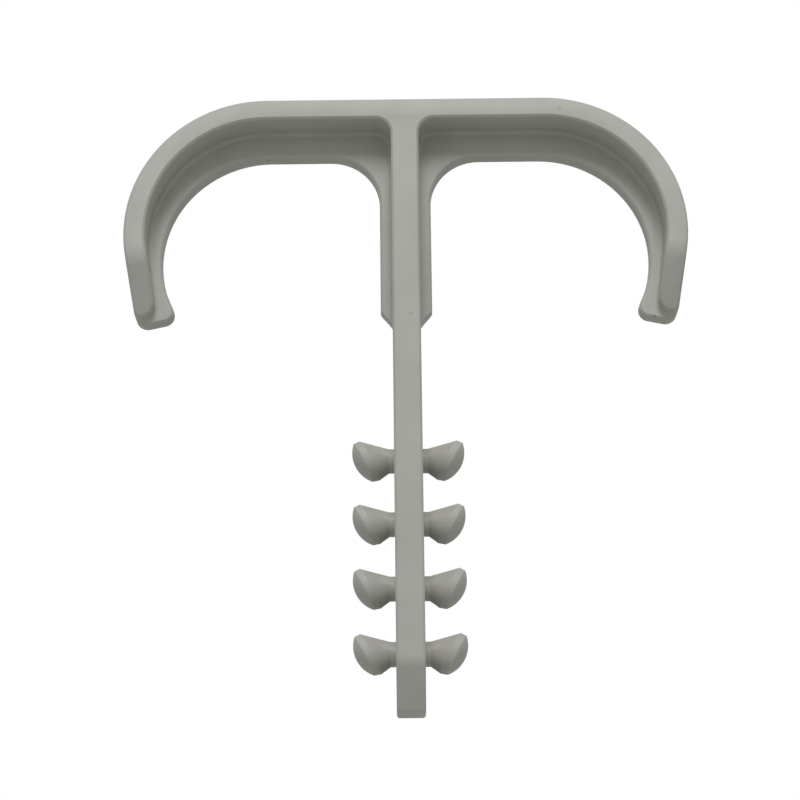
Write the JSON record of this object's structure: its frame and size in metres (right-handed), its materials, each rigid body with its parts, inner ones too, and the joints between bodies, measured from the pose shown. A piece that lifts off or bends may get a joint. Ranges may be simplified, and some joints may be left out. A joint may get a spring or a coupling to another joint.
{
  "type": "double pipe clamp",
  "caption": "Moulded plastic clip with hook arms either side of a barbed shank that plugs into a drilled hole and holds parallel pipes against a wall or floor.",
  "frame": {"origin": "on the shank's axis, at the surface that the pipes lie on and the shank is driven into", "axes": "+Z along the shank, from its point towards the top bar; +X towards one hook arm; +Y through the depth, along the pipes"},
  "size_m": [0.0566, 0.0096, 0.0623],
  "materials": {
    "grey_plastic": "satin"
  },
  "bodies": {
    "root": {"double_pipe_clamp": "grey_plastic"}
  },
  "joints": []
}
